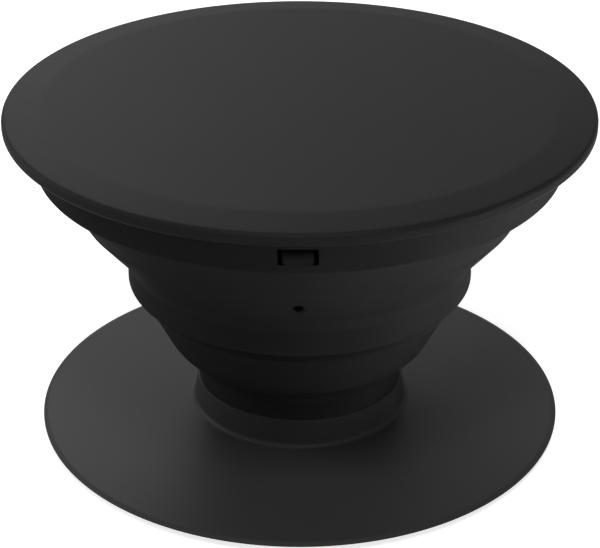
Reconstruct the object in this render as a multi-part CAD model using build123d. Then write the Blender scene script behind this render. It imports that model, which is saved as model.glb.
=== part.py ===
from build123d import *
import os
from math import atan2, cos, dist, remainder, sin, tan, tau

# Collapsible phone grip: a stick-on base, a folding bellows of soft rubber and a round button.
# Millimetres, +Z up along the grip's axis, origin at the centre of the stuck face.
# The grip is modelled pulled out. The bellows faces -Y with its vent and one of its windows.

# Adhesive pad
pad_radius = 17.4
pad_thickness = 0.6

# Base plate
plate_radius = 18.43
plate_thickness = 0.55
plate_edge_thickness = 0.19
plate_bevel_width = 0.32
plate_bevel_height = 0.15
plate_bevel_round = 0.3

# Collar of the base
collar_radius = 7.3
collar_height = 2.01
collar_flare = 0.25
collar_foot_round = 0.4
collar_lip_round = 0.06

# Spigot of the base, with the barb that holds the bellows
spigot_radius = 6.1
spigot_wall = 0.9
lip_height = 1.34
barb_reach = 0.4
barb_land = 0.2
barb_taper = 0.4
barb_clearance = 0.1
neck_clearance = 0.1

# Neck of the bellows
neck_radius = 7.18
neck_height = 1.9
neck_round = 0.25

# Lower wall of the bellows
lower_knee_radius = 8.94
lower_knee_rise = 1.01
lower_knee_round = 5.8
lower_top_radius = 10.73
lower_rise = 3.33
lower_wall = 1.0
lower_crown_round = 0.6

# Hinge groove under the middle ring
groove_radius = 10.64
groove_rise = 0.42
groove_round = 0.2
hinge_web = 0.55

# Middle ring
middle_radius = 11.955
middle_underside_rise = 1.16
middle_height = 1.65
middle_draft = 0.02
middle_wall = 1.3
middle_floor = 0.85
middle_edge_round = 0.12
middle_lip_round = 0.08
middle_step = 0.05
middle_step_rise = 0.03

# Shoulder between the middle ring and the upper wall
shoulder_rise = 0.74
shoulder_flare = 0.22
shoulder_round = 2.5
notch_depth = 0.3

# Upper wall of the bellows, with a shallow crease under its knee
upper_knee_radius = 15.1
upper_knee_rise = 3.57
upper_knee_round = 1.0
crease_inset = 0.34
crease_drop = 0.42
crease_round = 1.0
upper_top_radius = 16.99
upper_rise = 3.13
upper_wall = 1.05
upper_hinge_round = 0.2

# Top ring of the bellows
ring_radius = 17.85
ring_height = 2.75
ring_draft = 0.05
ring_wall = 1.35
ring_heel = 0.3
ring_edge_round = 0.12

# Windows in the top ring, and the vent in the upper wall
window_count = 4
window_width = 2.47
window_height = 1.05
window_sill = 0.58
vent_width = 0.7
vent_height = 0.87
vent_rise = 2.09

# Button
button_radius = 19.87
button_thickness = 1.13
button_face_radius = 17.35
button_rim_drop = 0.26
button_edge_round = 0.34

# Skirt and clips of the button
skirt_wall = 1.1
skirt_clearance = 0.1
clip_side_gap = 0.26
clip_sill_gap = 0.05
clip_height = 0.7
clip_setback = 0.1
clip_corner_round = 0.3
clip_top_round = 0.45
clip_edge_round = 0.15

# How far a cutter runs past the wall it cuts
cut_margin = 0.5

# Heights, counted up from the stuck face
plate_top = pad_thickness + plate_thickness
plate_edge_top = pad_thickness + plate_edge_thickness
collar_top = plate_top + collar_height
neck_top = collar_top + neck_height
lower_knee_z = neck_top + lower_knee_rise
lower_top = lower_knee_z + lower_rise
groove_z = lower_top + groove_rise
middle_bottom = groove_z + middle_underside_rise
middle_top = middle_bottom + middle_height
shoulder_bottom = middle_top + middle_step_rise
shoulder_top = shoulder_bottom + shoulder_rise
upper_knee_z = shoulder_top + upper_knee_rise
ring_bottom = upper_knee_z + upper_rise
ring_top = ring_bottom + ring_height
window_bottom = ring_bottom + window_sill
clip_bottom = window_bottom + clip_sill_gap
button_top = ring_top + button_thickness

# Radii that follow from the walls and the clearances
neck_bore = spigot_radius + neck_clearance
barb_radius = spigot_radius + barb_reach
neck_counterbore = barb_radius + barb_clearance
middle_inner = middle_radius - middle_wall
web_inner = groove_radius - hinge_web
middle_shoulder_radius = middle_radius - middle_draft - middle_step
shoulder_top_radius = middle_shoulder_radius + shoulder_flare
ring_inner = ring_radius - ring_wall
skirt_outer = ring_inner - skirt_clearance
skirt_inner = skirt_outer - skirt_wall
clip_width = window_width - 2 * clip_side_gap


def slope(start, end):
    """The direction from one corner to the next, as an angle."""
    return atan2(end[1] - start[1], end[0] - start[0])


def fitted(outline, rounds):
    """The roundings of a closed outline, each limited to what its two sides leave room for."""
    count = len(outline)
    lengths = [dist(outline[i - 1], outline[i]) for i in range(count)]
    headings = [slope(outline[i - 1], outline[i]) for i in range(count)]
    turns = [abs(remainder(headings[(i + 1) % count] - headings[i], tau)) for i in range(count)]
    setbacks = [rounds[i] * tan(turns[i] / 2) for i in range(count)]
    usable = 0.95  # of each side, so that a short straight is left between two roundings
    room = [usable * lengths[i] / max(setbacks[i - 1] + setbacks[i], usable * lengths[i]) for i in range(count)]
    return [rounds[i] * min(room[i], room[(i + 1) % count]) for i in range(count)]


def rounded(corners):
    """A flat face from corners, each with its rounding."""
    outline, rounds = zip(*corners)
    return make_face(FilletPolyline(*outline, radius=fitted(outline, rounds), close=True))


def turned(corners):
    """A solid of revolution about Z from (radius, height) corners, each with its rounding."""
    return revolve(Plane.XZ * rounded(corners), Axis.Z)


def inside(start, end, wall):
    """A point of the wall's inner line beside the start corner, and the line's direction."""
    angle = slope(start, end)
    return (start[0] - wall * sin(angle), start[1] + wall * cos(angle)), angle


def at_radius(line, radius):
    """The point of a slanted line at a given radius."""
    (r, z), angle = line
    return (radius, z + (radius - r) * tan(angle))


def at_height(line, height):
    """The point of a slanted line at a given height."""
    (r, z), angle = line
    return (r + (height - z) / tan(angle), height)


def crossing(first, second):
    """The corner where two slanted lines meet."""
    (r1, z1), a1 = first
    (r2, z2), a2 = second
    r = (z2 - z1 + r1 * tan(a1) - r2 * tan(a2)) / (tan(a1) - tan(a2))
    return at_radius(first, r)


def make_pad():
    """The disc of adhesive foam under the base."""
    return Pos(0, 0, pad_thickness / 2) * Cylinder(pad_radius, pad_thickness)


def make_base():
    """Plate, collar and hollow barbed spigot, one moulding."""
    lip_top = collar_top + lip_height
    barb_bottom = lip_top + barb_clearance
    barb_shoulder = barb_bottom + barb_land
    spigot_top = barb_shoulder + barb_taper
    spigot_bore = spigot_radius - spigot_wall
    corners = [
        ((0, pad_thickness), 0),
        ((plate_radius, pad_thickness), 0),
        ((plate_radius, plate_edge_top - plate_bevel_height), 0),
        ((plate_radius - plate_bevel_width, plate_edge_top), plate_bevel_round),
        ((collar_radius + collar_flare, plate_top), collar_foot_round),
        ((collar_radius, collar_top), collar_lip_round),
        ((spigot_radius, collar_top), 0),
        ((spigot_radius, barb_bottom), 0),
        ((barb_radius, barb_bottom), 0),
        ((barb_radius, barb_shoulder), 0),
        ((spigot_radius, spigot_top), 0),
        ((spigot_bore, spigot_top), 0),
        ((spigot_bore, plate_top), 0),
        ((0, plate_top), 0),
    ]
    return turned(corners)


def make_bellows():
    """Neck, two folding walls and two stiff rings joined by thin hinges, one moulding."""
    lip_top = collar_top + lip_height
    neck_corner = (neck_radius, neck_top)
    lower_knee = (lower_knee_radius, lower_knee_z)
    lower_crown_edge = (lower_top_radius, lower_top)
    shoulder_corner = (shoulder_top_radius, shoulder_top)
    upper_crease = (upper_knee_radius - crease_inset, upper_knee_z - crease_drop)
    upper_knee = (upper_knee_radius, upper_knee_z)
    upper_hinge = (upper_top_radius, ring_bottom)

    # Inner lines of the two walls, parallel to their outer faces
    lower_foot_line = inside(neck_corner, lower_knee, lower_wall)
    lower_line = inside(lower_knee, lower_crown_edge, lower_wall)
    upper_foot_line = inside(shoulder_corner, upper_crease, upper_wall)
    upper_line = inside(upper_knee, upper_hinge, upper_wall)
    notch_radius = shoulder_top_radius - hinge_web
    notch_z = shoulder_top + notch_depth

    outer = [
        ((neck_radius, collar_top), 0),
        (neck_corner, neck_round),
        (lower_knee, lower_knee_round),
        (lower_crown_edge, lower_crown_round),
        ((groove_radius, groove_z), groove_round),
        ((middle_radius, middle_bottom), middle_edge_round),
        ((middle_radius - middle_draft, middle_top), middle_lip_round),
        ((middle_shoulder_radius, shoulder_bottom), 0),
        (shoulder_corner, shoulder_round),
        (upper_crease, crease_round),
        (upper_knee, upper_knee_round),
        (upper_hinge, upper_hinge_round),
        ((ring_radius, ring_bottom), ring_edge_round),
        ((ring_radius - ring_draft, ring_top), 0),
    ]
    inner = [
        ((ring_inner, ring_top), 0),
        ((ring_inner, ring_bottom + ring_heel), 0),
        (at_height(upper_line, ring_bottom), 0),
        (crossing(upper_line, upper_foot_line), 0),
        (at_radius(upper_foot_line, notch_radius), 0),
        ((notch_radius, notch_z), 0),
        ((middle_inner, shoulder_bottom + hinge_web), 0),
        ((middle_inner, middle_bottom + middle_floor), 0),
        ((web_inner, middle_bottom + hinge_web), 0),
        (at_radius(lower_line, web_inner), 0),
        (crossing(lower_line, lower_foot_line), 0),
        (at_radius(lower_foot_line, neck_counterbore), 0),
        ((neck_counterbore, lip_top), 0),
        ((neck_bore, lip_top), 0),
        ((neck_bore, collar_top), 0),
    ]
    body = turned(outer + inner)
    window = Pos(0, -ring_radius, window_bottom + window_height / 2) * Box(
        window_width, 2 * (ring_wall + cut_margin), window_height
    )
    vent_middle = Pos(0, shoulder_top + vent_rise)
    vent = Plane.XZ * vent_middle * SlotOverall(vent_height, vent_width, rotation=90)
    body -= PolarLocations(0, window_count) * window
    body -= Pos(0, -middle_inner, 0) * extrude(vent, upper_knee_radius - middle_inner + cut_margin)
    return body


def make_clip():
    """One snap clip, standing out of the skirt into the window on the -Y side."""
    half = clip_width / 2
    clip_top = clip_bottom + clip_height
    nose = ring_radius - clip_setback
    root = skirt_inner + skirt_wall / 2
    front = [
        ((-half, clip_bottom), clip_corner_round),
        ((half, clip_bottom), clip_corner_round),
        ((half, clip_top), 0),
        ((-half, clip_top), 0),
    ]
    side = [
        ((-nose, clip_bottom), clip_edge_round),
        ((-root, clip_bottom), 0),
        ((-root, clip_top), 0),
        ((-nose, clip_top), clip_top_round),
    ]
    return extrude(Plane.XZ * rounded(front), nose) & extrude(Plane.YZ * rounded(side), half, both=True)


def make_button():
    """The round button with its snap skirt and clips, one moulding."""
    corners = [
        ((0, ring_top), 0),
        ((skirt_inner, ring_top), 0),
        ((skirt_inner, clip_bottom), 0),
        ((skirt_outer, clip_bottom), 0),
        ((skirt_outer, ring_top), 0),
        ((button_radius, ring_top), button_edge_round),
        ((button_radius, button_top - button_rim_drop), button_edge_round),
        ((button_face_radius, button_top), 0),
        ((0, button_top), 0),
    ]
    return turned(corners) + PolarLocations(0, window_count) * make_clip()


os.makedirs("parts", exist_ok=True)
pieces = {
    "adhesive_pad": make_pad(),
    "base": make_base(),
    "accordion": make_bellows(),
    "button": make_button(),
}
for name, piece in pieces.items():
    export_step(piece, f"parts/{name}.step")
print("height pulled out", round(button_top, 3), "width", 2 * button_radius)
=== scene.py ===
import math
import bmesh
import bpy
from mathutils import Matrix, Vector


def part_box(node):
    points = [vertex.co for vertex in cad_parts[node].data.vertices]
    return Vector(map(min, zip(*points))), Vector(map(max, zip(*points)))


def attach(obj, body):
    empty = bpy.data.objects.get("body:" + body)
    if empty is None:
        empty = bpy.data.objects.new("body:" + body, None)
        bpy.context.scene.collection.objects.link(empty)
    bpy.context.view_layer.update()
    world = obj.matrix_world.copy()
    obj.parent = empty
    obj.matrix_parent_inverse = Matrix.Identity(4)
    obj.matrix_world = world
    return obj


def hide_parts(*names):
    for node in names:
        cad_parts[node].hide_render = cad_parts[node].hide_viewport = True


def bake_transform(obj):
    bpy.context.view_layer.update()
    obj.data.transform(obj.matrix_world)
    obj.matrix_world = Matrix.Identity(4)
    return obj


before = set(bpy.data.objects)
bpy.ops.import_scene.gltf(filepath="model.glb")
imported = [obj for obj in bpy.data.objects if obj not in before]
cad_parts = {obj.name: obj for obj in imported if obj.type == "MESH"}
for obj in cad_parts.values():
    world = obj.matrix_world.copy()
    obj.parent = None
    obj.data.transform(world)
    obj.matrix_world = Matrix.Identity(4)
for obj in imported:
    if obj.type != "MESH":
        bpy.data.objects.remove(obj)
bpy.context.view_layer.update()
mm = 0.001  # the settings below are in millimetres, Blender works in metres
tiny = 1e-6  # anything smaller counts as nothing
print("frame loaded:", sorted(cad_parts))


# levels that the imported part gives
def boxOf(node):
    low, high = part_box(node)
    return low / mm, high / mm


padLow, padHigh = boxOf("adhesive_pad")
baseLow, baseHigh = boxOf("base")
bellowsLow, bellowsHigh = boxOf("accordion")
buttonLow, buttonHigh = boxOf("button")


# outlines: corners are (radius, height, rounding), and a closed outline comes back as points
def roundOutline(corners, stepDeg=5):
    count = len(corners)
    points = [Vector(corner[:2]) for corner in corners]
    sides = [points[(i + 1) % count] - points[i] for i in range(count)]
    turns = []
    for i in range(count):
        before, after = sides[i - 1], sides[i]
        turns.append(math.atan2(before.x * after.y - before.y * after.x, before.dot(after)))
    setbacks = [corners[i][2] * math.tan(abs(turns[i]) / 2) for i in range(count)]
    room = []
    for i in range(count):
        wanted = setbacks[i] + setbacks[(i + 1) % count]
        room.append(sides[i].length / max(wanted, sides[i].length))
    outline = []
    for i in range(count):
        fit = min(room[i - 1], room[i])
        radius = corners[i][2] * fit
        if radius * abs(turns[i]) < tiny:
            outline.append(points[i])
            continue
        way = sides[i - 1].normalized()
        start = points[i] - way * setbacks[i] * fit
        side = math.copysign(1, turns[i])
        centre = start + Vector((-way.y, way.x)) * radius * side
        steps = max(2, math.ceil(math.degrees(abs(turns[i])) / stepDeg))
        for k in range(steps + 1):
            angle = turns[i] * k / steps
            arm = start - centre
            outline.append(centre + Vector((
                arm.x * math.cos(angle) - arm.y * math.sin(angle),
                arm.x * math.sin(angle) + arm.y * math.cos(angle))))
    return outline


def fineOutline(outline, longest):
    # long straight stretches get points between, no further apart than the given length
    fine = []
    for here, there in zip(outline, outline[1:] + outline[:1]):
        parts = max(1, math.ceil((there - here).length / longest))
        fine += [here.lerp(there, k / parts) for k in range(parts)]
    return fine


def addObject(name, data):
    made = bpy.data.objects.new(name, data)
    bpy.context.scene.collection.objects.link(made)
    return made


def addSolid(name, bm):
    bmesh.ops.recalc_face_normals(bm, faces=bm.faces)
    mesh = bpy.data.meshes.new(name)
    bm.to_mesh(mesh)
    bm.free()
    return addObject(name, mesh)


def lathe(name, outline, around=240):
    bm = bmesh.new()
    spokes = [(math.cos(math.tau * k / around), math.sin(math.tau * k / around)) for k in range(around)]
    rings = []
    for point in outline:
        height = point.y * mm
        if point.x < tiny:
            rings.append([bm.verts.new((0, 0, height))] * around)
        else:
            rings.append([bm.verts.new((point.x * c * mm, point.x * s * mm, height)) for c, s in spokes])
    for low, high in zip(rings, rings[1:] + rings[:1]):
        for k in range(around):
            corners = [low[k], low[(k + 1) % around], high[(k + 1) % around], high[k]]
            face = list(dict.fromkeys(corners))  # on the axis corners fall together
            if len(face) > 2:
                bm.faces.new(face)
    return addSolid(name, bm)


def loft(name, rings):
    # a solid through rings of (x, y, z) points with equal counts
    bm = bmesh.new()
    rows = [[bm.verts.new(Vector(point) * mm) for point in ring] for ring in rings]
    bm.faces.new(rows[0])
    bm.faces.new(rows[-1])
    for near, far in zip(rows, rows[1:]):
        for k in range(len(near)):
            j = (k + 1) % len(near)
            bm.faces.new([near[k], near[j], far[j], far[k]])
    return addSolid(name, bm)


def prism(name, face, start, end):
    # a face of (x, z) points drawn out from y = start to y = end
    return loft(name, [[(x, y, z) for x, z in face] for y in (start, end)])


def combine(body, tools, operation):
    for tool in tools:
        step = body.modifiers.new("combine", "BOOLEAN")
        step.operation = operation
        step.solver = "EXACT"
        step.object = tool
    bpy.context.view_layer.update()
    made = body.evaluated_get(bpy.context.evaluated_depsgraph_get())
    body.modifiers.clear()
    body.data = bpy.data.meshes.new_from_object(made)
    for tool in tools:
        bpy.data.objects.remove(tool)


def smooth(piece, edgeDeg=28):
    piece.data.shade_smooth()
    piece.data.set_sharp_from_angle(angle=math.radians(edgeDeg))


def turnedCopies(piece, count):
    made = [piece]
    for k in range(1, count):
        other = addObject(piece.name + str(k), piece.data)
        other.rotation_euler.z = math.tau * k / count
        made.append(other)
    return made


# finishes
def mouldedFinish(name, look):
    material = bpy.data.materials.new(name)
    material.use_nodes = True
    nodes, links = material.node_tree.nodes, material.node_tree.links
    shader = nodes["Principled BSDF"]
    shader.inputs["Specular IOR Level"].default_value = look["specular"]
    place = nodes.new("ShaderNodeTexCoord")

    def noise(size, detail):
        texture = nodes.new("ShaderNodeTexNoise")
        texture.inputs["Scale"].default_value = 1 / (size * mm)
        texture.inputs["Detail"].default_value = detail
        links.new(place.outputs["Object"], texture.inputs["Vector"])
        return texture

    grain = noise(look["grainSize"], detail=2)
    cloud = noise(look["cloudSize"], detail=3)
    tint = nodes.new("ShaderNodeMix")
    tint.data_type = "RGBA"
    links.new(cloud.outputs["Fac"], tint.inputs["Factor"])
    tint.inputs["A"].default_value = (*look["dark"], 1)
    tint.inputs["B"].default_value = (*look["light"], 1)
    links.new(tint.outputs["Result"], shader.inputs["Base Color"])
    gloss = nodes.new("ShaderNodeMapRange")
    gloss.inputs["To Min"].default_value = look["roughness"][0]
    gloss.inputs["To Max"].default_value = look["roughness"][1]
    links.new(grain.outputs["Fac"], gloss.inputs["Value"])
    links.new(gloss.outputs["Result"], shader.inputs["Roughness"])
    bump = nodes.new("ShaderNodeBump")
    bump.inputs["Strength"].default_value = look["bump"]
    bump.inputs["Distance"].default_value = look["bumpDepth"] * mm
    links.new(grain.outputs["Fac"], bump.inputs["Height"])
    links.new(bump.outputs["Normal"], shader.inputs["Normal"])
    return material


buttonLook = {
    "dark": (0.0106, 0.0106, 0.0108), "light": (0.0130, 0.0130, 0.0132), "specular": 0.055,
    "roughness": (0.5, 0.62), "grainSize": 0.16, "cloudSize": 6.0, "bump": 0.25, "bumpDepth": 0.01,
}
baseLook = {
    "dark": (0.0219, 0.0226, 0.0222), "light": (0.0254, 0.0261, 0.0257), "specular": 0.13,
    "roughness": (0.46, 0.58), "grainSize": 0.16, "cloudSize": 6.0, "bump": 0.25, "bumpDepth": 0.01,
}
rubberLook = {
    "dark": (0.0164, 0.0164, 0.0165), "light": (0.0204, 0.0204, 0.0205), "specular": 0.012,
    "roughness": (0.55, 0.66), "grainSize": 0.12, "cloudSize": 4.0, "bump": 0.15, "bumpDepth": 0.008,
}
foamLook = {
    "dark": (0.012, 0.012, 0.0125), "light": (0.020, 0.020, 0.0205), "specular": 0.2,
    "roughness": (0.75, 0.92), "grainSize": 0.25, "cloudSize": 1.5, "bump": 0.8, "bumpDepth": 0.05,
}
buttonFinish = mouldedFinish("satin_black_button", buttonLook)
baseFinish = mouldedFinish("satin_black_base", baseLook)
rubberFinish = mouldedFinish("soft_black_rubber", rubberLook)
foamFinish = mouldedFinish("black_foam", foamLook)
print("finishes made")


def dress(piece, finish, node):
    piece.data.materials.clear()
    piece.data.materials.append(finish)
    smooth(piece)
    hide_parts(node)


# foam pad under the base
padSettings = {"edgeRound": 0.08}
pad = lathe("foam_pad", roundOutline([
    (0, padLow.z, 0),
    (padHigh.x, padLow.z, padSettings["edgeRound"]),
    (padHigh.x, padHigh.z, padSettings["edgeRound"]),
    (0, padHigh.z, 0),
]))
dress(pad, foamFinish, "adhesive_pad")
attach(pad, "base")

# base: thin plate, collar and the barbed spigot inside the neck
baseSettings = {
    "plateThickness": 0.55, "edgeThickness": 0.19,
    "bevelWidth": 0.32, "bevelHeight": 0.15, "bevelRound": 0.3,
    "collarRadius": 7.3, "collarFlare": 0.25, "footRound": 0.4, "lipRound": 0.06,
    "spigotRadius": 6.1, "spigotWall": 0.9, "barbReach": 0.4, "barbLand": 0.2, "barbTaper": 0.4,
}


def makeBase(s):
    plateRadius = baseHigh.x
    plateTop = baseLow.z + s["plateThickness"]
    edgeTop = baseLow.z + s["edgeThickness"]  # the plate thins out towards its edge
    collarTop = bellowsLow.z
    barbTop = baseHigh.z - s["barbTaper"]
    barbRadius = s["spigotRadius"] + s["barbReach"]
    bore = s["spigotRadius"] - s["spigotWall"]
    return lathe("base_shell", roundOutline([
        (0, baseLow.z, 0),
        (plateRadius, baseLow.z, 0),
        (plateRadius, edgeTop - s["bevelHeight"], 0),
        (plateRadius - s["bevelWidth"], edgeTop, s["bevelRound"]),
        (s["collarRadius"] + s["collarFlare"], plateTop, s["footRound"]),
        (s["collarRadius"], collarTop, s["lipRound"]),
        (s["spigotRadius"], collarTop, 0),
        (s["spigotRadius"], barbTop - s["barbLand"], 0),
        (barbRadius, barbTop - s["barbLand"], 0),
        (barbRadius, barbTop, 0),
        (s["spigotRadius"], baseHigh.z, 0),
        (bore, baseHigh.z, 0),
        (bore, plateTop, 0),
        (0, plateTop, 0),
    ]))


base = makeBase(baseSettings)
dress(base, baseFinish, "base")
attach(base, "base")
print("base made")

# bellows: one moulding, drawn in four closed stretches; the ring rides with the button
bellowsSettings = {
    "neckRadius": 7.18, "neckHeight": 1.9, "neckRound": 1.7,
    "neckBore": 6.2, "counterbore": 6.6, "lipHeight": 1.34,
    "lowerKneeRadius": 8.94, "lowerKneeRise": 1.01, "lowerKneeRound": 3.5,
    "lowerTopRadius": 10.73, "lowerRise": 3.53, "lowerWall": 1.0, "crownRound": 0.6,
    "grooveRadius": 10.4, "grooveRise": 0.66, "grooveRound": 0.2, "undersideRise": 0.72, "hingeWeb": 0.55,
    "middleRadius": 11.955, "middleHeight": 1.65, "middleDraft": 0.02, "middleWall": 1.3,
    "middleEdge": 0.35, "middleStep": 0.004, "middleStepRise": 0.004, "middleLip": 0.08,
    "shoulderRise": 0.766, "shoulderFlare": 0.174, "shoulderRound": 2.5,
    "upperKneeRadius": 15.2, "upperKneeRise": 3.85, "upperKneeRound": 0.4,
    "creaseInset": 0.22, "creaseDrop": 0.47, "creaseRound": 0.8,
    "upperTopRadius": 16.86, "upperWall": 1.05, "upperRise": 2.65, "upperBulge": 0.08, "bulgeRound": 25,
    "ringDraft": 0.05, "ringWall": 1.35, "ringHeel": 0.3, "ringEdge": 0.35,
    "windowCount": 4, "windowWidth": 2.47, "windowHeight": 1.05, "windowSill": 0.78, "windowMargin": 1,
    "ventWidth": 0.62, "ventHeight": 0.72, "ventRise": 2.09, "ventFlare": 0.28,
    "ventSteps": 8, "ventMargin": 0.3, "ventDepth": 3,
    "splitShare": 0.85,  # how far out along the middle ring's underside the foot ends
    "cutShare": 0.2,  # how far up the foot of the upper wall the middle ends
    "middleShare": 0.556,  # how much of the button's way the middle ring takes
    "farBlend": 2000,  # long enough that a blend would move the whole middle ring alike
    "wallStep": 0.25,
}


def inwards(start, end, wall):
    # the wall's inner line beside the stretch from start to end, as two points
    way = (Vector(end) - Vector(start)).normalized()
    shift = Vector((-way.y, way.x)) * wall
    return Vector(start) + shift, Vector(end) + shift


def crossing(first, second):
    (a, b), (c, d) = first, second
    p, q = b - a, d - c
    share = ((c.x - a.x) * q.y - (c.y - a.y) * q.x) / (p.x * q.y - p.y * q.x)
    return a + p * share


def atRadius(line, radius):
    a, b = line
    return Vector((radius, a.y + (b.y - a.y) * (radius - a.x) / (b.x - a.x)))


def atHeight(line, height):
    a, b = line
    return Vector((a.x + (b.x - a.x) * (height - a.y) / (b.y - a.y), height))


def slotFace(width, height, middle, steps=8):
    # an upright slot with round ends, as (x, z) points
    radius = width / 2
    arm = height / 2 - radius
    face = []
    for end, first in ((1, 0), (-1, math.pi)):
        for k in range(steps + 1):
            angle = first + math.pi * k / steps
            face.append((radius * math.cos(angle), middle + end * arm + radius * math.sin(angle)))
    return face


def makeBellows(s):
    neckTop = bellowsLow.z + s["neckHeight"]
    lipTop = bellowsLow.z + s["lipHeight"]
    ringTop = bellowsHigh.z
    ringRadius = bellowsHigh.x
    kneeLow = (s["lowerKneeRadius"], neckTop + s["lowerKneeRise"])
    crownEdge = (s["lowerTopRadius"], kneeLow[1] + s["lowerRise"])
    groove = (s["grooveRadius"], crownEdge[1] + s["grooveRise"])
    middleLow = groove[1] + s["undersideRise"]
    middleTop = middleLow + s["middleHeight"]
    stepRadius = s["middleRadius"] - s["middleDraft"] - s["middleStep"]
    stepTop = middleTop + s["middleStepRise"]
    shoulder = (stepRadius + s["shoulderFlare"], stepTop + s["shoulderRise"])
    kneeHigh = (s["upperKneeRadius"], shoulder[1] + s["upperKneeRise"])
    crease = (kneeHigh[0] - s["creaseInset"], kneeHigh[1] - s["creaseDrop"])
    hinge = (s["upperTopRadius"], kneeHigh[1] + s["upperRise"])
    swollen = inwards(kneeHigh, hinge, -s["upperBulge"])
    bulge = (swollen[0] + swollen[1]) / 2  # half-way up, the wall swells a little
    ringLow = hinge[1]
    neckCorner = (s["neckRadius"], neckTop)
    middleInner = s["middleRadius"] - s["middleWall"]
    webInner = s["grooveRadius"] - s["hingeWeb"]
    lowerFoot = inwards(neckCorner, kneeLow, s["lowerWall"])
    lowerLine = inwards(kneeLow, crownEdge, s["lowerWall"])
    upperFoot = inwards(shoulder, crease, s["upperWall"])
    upperLine = inwards(kneeHigh, hinge, s["upperWall"])

    def corner(point, rounding=0):
        return (point[0], point[1], rounding)

    # the stretches meet on straight parts of the outline, so the shading runs on
    split = Vector(groove).lerp(Vector((s["middleRadius"], middleLow)), s["splitShare"])
    splitInner = Vector((webInner, split.y))
    foot = [
        (s["neckRadius"], bellowsLow.z, 0),
        corner(neckCorner, s["neckRound"]),
        corner(kneeLow, s["lowerKneeRound"]),
        corner(crownEdge, s["crownRound"]),
        corner(groove, s["grooveRound"]),
        corner(split),
        corner(splitInner),
        corner(atRadius(lowerLine, webInner)),
        corner(crossing(lowerLine, lowerFoot)),
        corner(atRadius(lowerFoot, s["counterbore"])),
        (s["counterbore"], lipTop, 0),
        (s["neckBore"], lipTop, 0),
        (s["neckBore"], bellowsLow.z, 0),
    ]
    cut = Vector(shoulder).lerp(Vector(crease), s["cutShare"])
    cutInner = cut + (upperFoot[0] - Vector(shoulder))
    middle = [
        corner(split),
        (s["middleRadius"], middleLow, s["middleEdge"]),
        (s["middleRadius"] - s["middleDraft"], middleTop, s["middleLip"]),
        (stepRadius, stepTop, 0),
        corner(shoulder, s["shoulderRound"]),
        corner(cut),
        corner(cutInner),
        (middleInner, stepTop + s["hingeWeb"], 0),
        (middleInner, middleLow + s["hingeWeb"], 0),
        (webInner, middleLow + s["hingeWeb"], 0),
        corner(splitInner),
    ]
    wall = [
        corner(cut),
        corner(crease, s["creaseRound"]),
        corner(kneeHigh, s["upperKneeRound"]),
        corner(bulge, s["bulgeRound"]),
        corner(hinge),
        corner(atHeight(upperLine, ringLow)),
        corner(crossing(upperLine, upperFoot)),
        corner(cutInner),
    ]
    ring = [
        corner(hinge),
        (ringRadius, ringLow, s["ringEdge"]),
        (ringRadius - s["ringDraft"], ringTop, 0),
        (ringRadius - s["ringWall"], ringTop, 0),
        (ringRadius - s["ringWall"], ringLow + s["ringHeel"], 0),
        corner(atHeight(upperLine, ringLow)),
    ]
    pieces = {}
    for name, corners in {"foot": foot, "middle": middle, "wall": wall, "ring": ring}.items():
        outline = fineOutline(roundOutline(corners), s["wallStep"])
        pieces[name] = lathe("bellows_" + name, outline)

    windowMiddle = ringLow + s["windowSill"] + s["windowHeight"] / 2
    halfWidth, halfHeight = s["windowWidth"] / 2, s["windowHeight"] / 2
    square = ((-1, -1), (1, -1), (1, 1), (-1, 1))
    windowFace = [(x * halfWidth, windowMiddle + z * halfHeight) for x, z in square]
    windowOut = -ringRadius - s["windowMargin"]
    windowIn = -ringRadius + s["ringWall"] + s["windowMargin"]
    window = prism("window", windowFace, windowOut, windowIn)
    combine(pieces["ring"], turnedCopies(window, s["windowCount"]), "DIFFERENCE")

    # the vent's mouth widens in a round towards the skin, and its first ring stands clear of it
    ventZ = shoulder[1] + s["ventRise"]
    skin = (Vector(shoulder), Vector(crease))
    rings = []
    for k in range(-1, s["ventSteps"] + 1):
        margin = s["ventMargin"] if k < 0 else 0
        angle = math.pi / 2 * max(k, 0) / s["ventSteps"]
        wider = s["ventFlare"] * (1 - math.sin(angle)) + margin
        depth = s["ventFlare"] * (1 - math.cos(angle)) - margin
        face = slotFace(s["ventWidth"] + 2 * wider, s["ventHeight"] + 2 * wider, ventZ)
        rings.append([(x, depth - atHeight(skin, z).x, z) for x, z in face])
    rings.append([(x, y + s["ventDepth"], z) for x, y, z in rings[-1]])
    vent = loft("vent", rings)
    combine(pieces["wall"], [vent], "DIFFERENCE")

    for piece in pieces.values():
        dress(piece, rubberFinish, "accordion")
    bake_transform(pieces["foot"])
    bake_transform(pieces["middle"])
    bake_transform(pieces["wall"])
    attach(pieces["ring"], "button")


makeBellows(bellowsSettings)
print("bellows made")

# button: disc with a bevelled, rounded rim, the snap skirt and its clips
buttonSettings = {
    "faceRadius": 17.35, "faceRound": 2.5, "rimDrop": 0.26, "rimRound": 0.34, "discStep": 0.6,
    "skirtOuter": 16.4, "skirtWall": 1.1,
    "clipCount": 4, "clipWidth": 1.95, "clipHeight": 0.86, "clipDrop": 0.09, "clipSetback": 0.02,
    "clipCorner": 0.3, "clipTop": 0.55, "clipEdge": 0.15, "clipFoot": 0.05,  # roundings
    "clipRows": 24, "clipStepDeg": 15,
}


def roundedBack(rounding, inside):
    # how far a rounded edge lies back where this much of the rounding is left to go
    inside = min(max(inside, 0), rounding)
    return rounding - math.sqrt(rounding ** 2 - inside ** 2)


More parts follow.
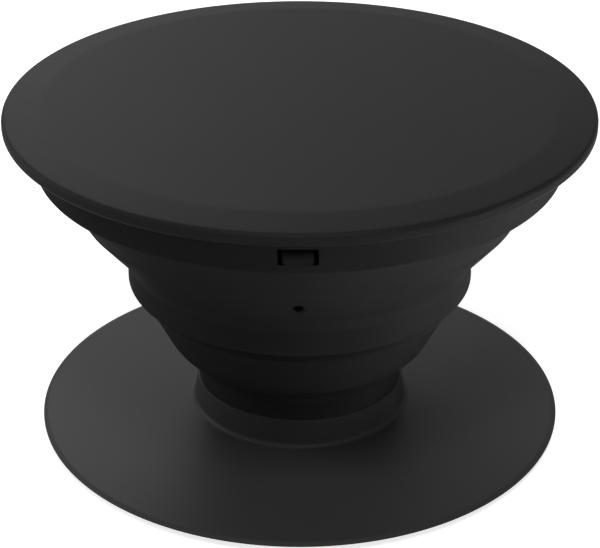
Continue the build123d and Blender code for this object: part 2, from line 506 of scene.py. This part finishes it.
def makeClip(s):
    half = s["clipWidth"] / 2
    low = buttonLow.z - s["clipDrop"]  # down to the sill of the window
    high = buttonLow.z + s["clipHeight"]
    nose = bellowsHigh.x - s["clipSetback"]
    root = s["skirtOuter"] - s["skirtWall"] / 2
    rings = []
    for k in range(s["clipRows"] + 1):
        z = low + (high - low) * (1 - math.cos(math.pi * k / s["clipRows"])) / 2  # closer at both ends
        side = half - roundedBack(s["clipCorner"], s["clipCorner"] - (z - low))
        front = nose - roundedBack(s["clipFoot"], s["clipFoot"] - (z - low))
        front -= roundedBack(s["clipTop"], s["clipTop"] - (high - z))
        plan = roundOutline([
            (-side, -front, s["clipEdge"]),
            (side, -front, s["clipEdge"]),
            (side, -root, 0),
            (-side, -root, 0),
        ], s["clipStepDeg"])
        rings.append([(x, y, z) for x, y in plan])
    return loft("clip", rings)


def makeButton(s):
    discLow = bellowsHigh.z
    skirtInner = s["skirtOuter"] - s["skirtWall"]
    disc = lathe("button_shell", fineOutline(roundOutline([
        (0, discLow, 0),
        (skirtInner, discLow, 0),
        (skirtInner, buttonLow.z, 0),
        (s["skirtOuter"], buttonLow.z, 0),
        (s["skirtOuter"], discLow, 0),
        (buttonHigh.x, discLow, s["rimRound"]),
        (buttonHigh.x, buttonHigh.z - s["rimDrop"], s["rimRound"]),
        (s["faceRadius"], buttonHigh.z, s["faceRound"]),
        (0, buttonHigh.z, 0),
    ]), s["discStep"]))
    combine(disc, turnedCopies(makeClip(s), s["clipCount"]), "UNION")
    return disc


button = makeButton(buttonSettings)
dress(button, buttonFinish, "button")
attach(button, "button")
print("button made")

# studio: white floor that keeps a shadow, soft boxes and the photo's viewpoint
def seenRay(nodes, links, path):
    # 1 for what the camera sees directly, in a reflection or through something clear
    total = path.outputs["Is Camera Ray"]
    for name in ("Is Glossy Ray", "Is Transmission Ray"):
        larger = nodes.new("ShaderNodeMath")
        larger.operation = "MAXIMUM"
        links.new(total, larger.inputs[0])
        links.new(path.outputs[name], larger.inputs[1])
        total = larger.outputs[0]
    return total


floorSettings = {"half": 3000, "shade": (0.55, 0.55, 0.55), "glow": 0.8}


def makeFloor(s):
    mesh = bpy.data.meshes.new("floor")
    half = s["half"] * mm
    corners = [(-half, -half, 0), (half, -half, 0), (half, half, 0), (-half, half, 0)]
    mesh.from_pydata(corners, [], [(0, 1, 2, 3)])
    floor = addObject("floor", mesh)
    material = bpy.data.materials.new("white_floor")
    material.use_nodes = True
    nodes, links = material.node_tree.nodes, material.node_tree.links
    nodes.clear()
    diffuse = nodes.new("ShaderNodeBsdfDiffuse")
    path = nodes.new("ShaderNodeLightPath")
    shade = nodes.new("ShaderNodeMix")  # reflections show an even floor, without the lamps' bright spots
    shade.data_type = "RGBA"
    links.new(path.outputs["Is Glossy Ray"], shade.inputs["Factor"])
    shade.inputs["A"].default_value = (*s["shade"], 1)
    shade.inputs["B"].default_value = (0, 0, 0, 1)
    links.new(shade.outputs["Result"], diffuse.inputs["Color"])
    glow = nodes.new("ShaderNodeEmission")
    strength = nodes.new("ShaderNodeMath")
    strength.operation = "MULTIPLY"
    strength.inputs[1].default_value = s["glow"]
    links.new(seenRay(nodes, links, path), strength.inputs[0])
    links.new(strength.outputs[0], glow.inputs["Strength"])
    both = nodes.new("ShaderNodeAddShader")
    links.new(diffuse.outputs[0], both.inputs[0])
    links.new(glow.outputs[0], both.inputs[1])
    out = nodes.new("ShaderNodeOutputMaterial")
    links.new(both.outputs[0], out.inputs["Surface"])
    mesh.materials.append(material)


worldSettings = {"fill": 0.15, "sky": 0.5}


def makeWorld(s):
    world = bpy.data.worlds.new("studio")
    bpy.context.scene.world = world
    world.use_nodes = True
    nodes, links = world.node_tree.nodes, world.node_tree.links
    background = nodes["Background"]
    background.inputs["Color"].default_value = (1, 1, 1, 1)
    strength = nodes.new("ShaderNodeMapRange")  # pale where it is seen, dim where it lights
    links.new(seenRay(nodes, links, nodes.new("ShaderNodeLightPath")), strength.inputs["Value"])
    strength.inputs["To Min"].default_value = s["fill"]
    strength.inputs["To Max"].default_value = s["sky"]
    links.new(strength.outputs["Result"], background.inputs["Strength"])


# the two small lamps shine straight down, and the floor throws their light up under the button
lampSettings = {
    "frontHigh": {"place": (0, -300, 560), "aim": (0, 0, 5), "size": 160, "spreadDeg": 180, "power": 2.4},
    "back": {"place": (0, 650, 300), "aim": (0, 0, 10), "size": 400, "spreadDeg": 180, "power": 0.42},
    "backLeft": {"place": (-70, 170, 130), "aim": (0, 0, 15), "size": 80, "spreadDeg": 180, "power": 0.1},
    "left": {"place": (-220, 60, 90), "aim": (0, 0, 10), "size": 100, "spreadDeg": 180, "power": 0.19},
    "floorRight": {"place": (56, -12, 50), "aim": (56, -12, 0), "size": 40, "spreadDeg": 40, "power": 0.2},
    "floorFront": {
        "place": (12, -58, 50), "aim": (12, -58, 0), "size": 30, "spreadDeg": 30, "power": 0.018,
    },
}


def makeLamp(name, s):
    light = bpy.data.lights.new(name, "AREA")
    light.size = s["size"] * mm
    light.spread = math.radians(s["spreadDeg"])
    light.energy = s["power"]
    lamp = addObject(name, light)
    lamp.location = Vector(s["place"]) * mm
    way = Vector(s["aim"]) - Vector(s["place"])
    lamp.rotation_euler = way.to_track_quat("-Z", "Y").to_euler()
    lamp.visible_camera = False


cameraSettings = {
    "away": 121.04, "height": 74.7, "turnDeg": 0.33, "tiltDeg": 62.11, "lens": 117.16, "sensor": 36,
    "imageWidth": 600, "shiftPixels": (0.25, 0.56), "nearest": 5,
}


def makeCamera(s):
    data = bpy.data.cameras.new("camera")
    data.sensor_width = s["sensor"]
    data.lens = s["lens"]
    data.clip_start = s["nearest"] * mm
    data.shift_x = s["shiftPixels"][0] / s["imageWidth"]
    data.shift_y = s["shiftPixels"][1] / s["imageWidth"]
    camera = addObject("camera", data)
    turn = math.radians(s["turnDeg"])
    camera.location = Vector((s["away"] * math.sin(turn), -s["away"] * math.cos(turn), s["height"])) * mm
    camera.rotation_euler = (math.radians(s["tiltDeg"]), 0, turn)
    bpy.context.scene.camera = camera


makeFloor(floorSettings)
makeWorld(worldSettings)
for lampName, lampValues in lampSettings.items():
    makeLamp(lampName, lampValues)
makeCamera(cameraSettings)
bpy.context.scene.view_settings.view_transform = "Standard"
print("studio made")
